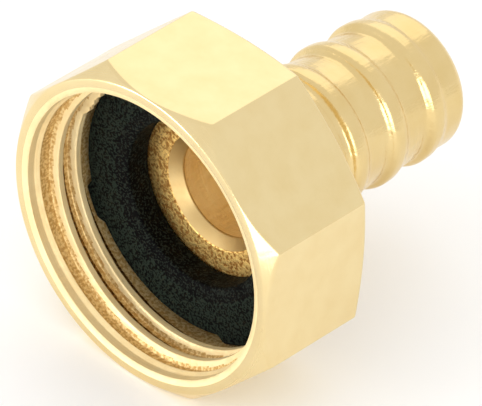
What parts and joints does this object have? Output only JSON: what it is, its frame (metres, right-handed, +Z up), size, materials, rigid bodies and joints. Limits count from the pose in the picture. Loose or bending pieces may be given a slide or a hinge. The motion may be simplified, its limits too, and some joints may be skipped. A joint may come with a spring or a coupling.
{
  "type": "garden hose coupling",
  "caption": "Brass garden-hose coupling: octagonal swivel nut with internal hose thread, captive barbed hose tail and lugged rubber sealing washer.",
  "frame": {"origin": "centre of the bounding box's footprint, on the flat of the nut that the coupling lies on", "axes": "+Y along the fitting's axis from the nut's open mouth to the barb's tip, +Z up"},
  "size_m": [0.0302, 0.035, 0.0302],
  "materials": {
    "nut_brass": "polished",
    "tail_brass": "turned satin",
    "washer_rubber": "matt, speckled"
  },
  "bodies": {
    "nut": {"swivel_nut": "nut_brass"},
    "washer": {"sealing_washer": "washer_rubber"},
    "tail": {"hose_tail": "tail_brass"}
  },
  "joints": [
    {"name": "axial_float", "type": "slide", "parent": "nut", "child": "washer", "axis": [0, -1, 0], "range_m": [0, 0.0002]},
    {"name": "tail_swivel", "type": "hinge", "parent": "washer", "child": "tail", "pos_m": [0, 0, 0.0151], "axis": [0, 1, 0], "continuous": true}
  ]
}
